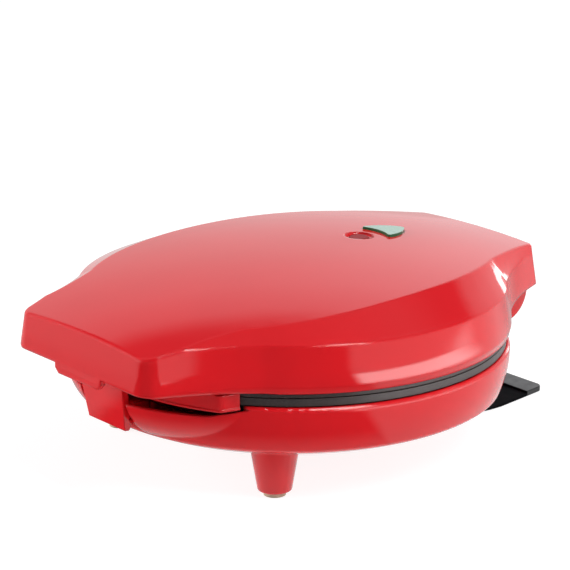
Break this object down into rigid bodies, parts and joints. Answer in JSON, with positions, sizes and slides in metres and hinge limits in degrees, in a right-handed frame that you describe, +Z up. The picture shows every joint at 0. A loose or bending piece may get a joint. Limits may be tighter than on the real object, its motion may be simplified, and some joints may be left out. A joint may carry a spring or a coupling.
{
  "type": "sandwich maker",
  "caption": "Round countertop sandwich maker with a domed hinged lid, ribbed cooking plates, a swinging front latch, two indicator lamps, short feet and a rear stand.",
  "frame": {"origin": "centre of the bounding box on the floor it stands on", "axes": "+Z up, -Y towards the latch and the handle, +Y towards the hinge, X across"},
  "size_m": [0.2248, 0.2786, 0.0977],
  "materials": {
    "red_shell": "glossy red moulded shell",
    "red_liner": "glossy red moulded liner",
    "red_latch": "glossy red moulded latch",
    "cast_plate": "dark non-stick coated casting",
    "element_sheath": "heat tinted steel sheath",
    "tray_steel": "bright pressed sheet",
    "screw_steel": "zinc plated screws",
    "pin_steel": "drawn steel pins",
    "terminal_brass": "turned brass",
    "block_plastic": "off-white moulded block",
    "thermostat_ceramic": "steatite body",
    "fuse_metal": "tinned metal can",
    "gland_plastic": "black bushing",
    "stand_plastic": "black satin stand",
    "pad_rubber": "cream rubber foot pads",
    "stand_pad_rubber": "dark rubber pads",
    "power_lens": "translucent red lens",
    "ready_lens": "translucent green lens",
    "holder_plastic": "natural moulded clip",
    "lamp_glass": "small glow lamps"
  },
  "bodies": {
    "base": {"base_cover": "red_shell", "lower_plate": "cast_plate", "lower_heater": "element_sheath", "lower_reflector": "tray_steel", "base_screws": "screw_steel", "thermostat": "thermostat_ceramic", "thermal_fuse": "fuse_metal", "terminal_block": "block_plastic", "terminal_screws": "terminal_brass", "cord_gland": "gland_plastic", "rear_stand": "stand_plastic", "stand_screws": "screw_steel", "stand_pads": "stand_pad_rubber", "foot_pad_left": "pad_rubber", "foot_pad_right": "pad_rubber", "hinge_pin_left": "pin_steel", "hinge_pin_right": "pin_steel"},
    "lid": {"lid_cover": "red_shell", "lid_liner": "red_liner", "lid_screws": "screw_steel", "liner_screws": "screw_steel", "upper_plate": "cast_plate", "upper_heater": "element_sheath", "upper_reflector": "tray_steel", "reflector_screws": "screw_steel", "power_lens": "power_lens", "ready_lens": "ready_lens", "lamp_holder": "holder_plastic", "power_lamp": "lamp_glass", "ready_lamp": "lamp_glass", "latch_pin": "pin_steel"},
    "latch": {"latch": "red_latch"}
  },
  "joints": [
    {"name": "lid_hinge", "type": "hinge", "parent": "base", "child": "lid", "pos_m": [0, 0.10862, 0.062], "axis": [-1, 0, 0], "range_deg": [0, 100]},
    {"name": "latch_pivot", "type": "hinge", "parent": "lid", "child": "latch", "pos_m": [0, -0.12837, 0.063], "axis": [-1, 0, 0], "range_deg": [0, 30]}
  ]
}
